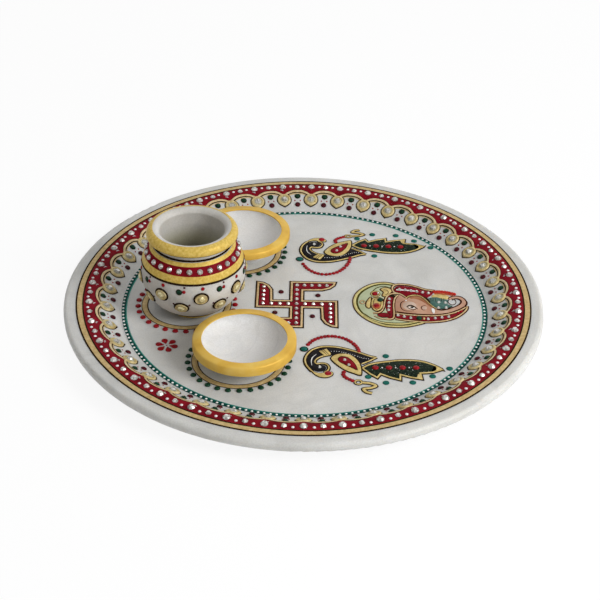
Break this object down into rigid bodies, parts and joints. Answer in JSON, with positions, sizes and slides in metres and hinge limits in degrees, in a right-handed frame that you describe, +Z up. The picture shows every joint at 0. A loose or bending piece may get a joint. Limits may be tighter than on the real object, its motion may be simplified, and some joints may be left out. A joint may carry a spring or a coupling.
{
  "type": "puja thali",
  "caption": "Round white marble puja thali with a stone-set scalloped rim and painted floor, carrying a small rolled-lip kalash pot and gilt-rimmed bowls that lift off.",
  "frame": {"origin": "centre of the plate's flat underside", "axes": "+Z up out of the dish, +X from the kalash across the painted figures, +Y to the far bowl"},
  "size_m": [0.254, 0.254, 0.0545],
  "materials": {
    "marble": "honed white marble, painted",
    "clear_stone": "foil-backed",
    "yellow_stone": "foil-backed",
    "gold_setting": "gilt",
    "red_drop": "glossy",
    "green_drop": "glossy"
  },
  "bodies": {
    "tray": {"plate": "marble", "rim_large_stones": "clear_stone", "rim_medium_stones": "clear_stone", "kundan_bezels": "gold_setting", "kundan_stones": "clear_stone", "rim_green_drops": "green_drop", "rim_maroon_drops": "red_drop", "kalash_seat_beads": "red_drop", "near_bowl_seat_beads": "green_drop", "far_bowl_seat_beads": "green_drop", "swastika_stones": "clear_stone", "swastika_dots": "red_drop", "ganesha_clear_stones": "clear_stone", "ganesha_red_stones": "red_drop", "ganesha_green_stones": "green_drop", "near_peacock_clear_stones": "clear_stone", "near_peacock_red_stones": "red_drop", "near_peacock_teal_stones": "green_drop", "far_peacock_clear_stones": "clear_stone", "far_peacock_red_stones": "red_drop", "far_peacock_teal_stones": "green_drop"},
    "kalash": {"kalash": "marble", "kalash_collar_stones": "clear_stone", "kalash_bezels": "gold_setting", "kalash_bezel_stones": "yellow_stone"},
    "near_bowl": {"near_bowl": "marble"},
    "far_bowl": {"far_bowl": "marble"}
  },
  "joints": [
    {"name": "kalash_lift", "type": "slide", "parent": "tray", "child": "kalash", "axis": [0, 0, 1], "range_m": [0, 0.06]},
    {"name": "near_bowl_lift", "type": "slide", "parent": "tray", "child": "near_bowl", "axis": [0, 0, 1], "range_m": [0, 0.06]},
    {"name": "far_bowl_lift", "type": "slide", "parent": "tray", "child": "far_bowl", "axis": [0, 0, 1], "range_m": [0, 0.06]}
  ]
}
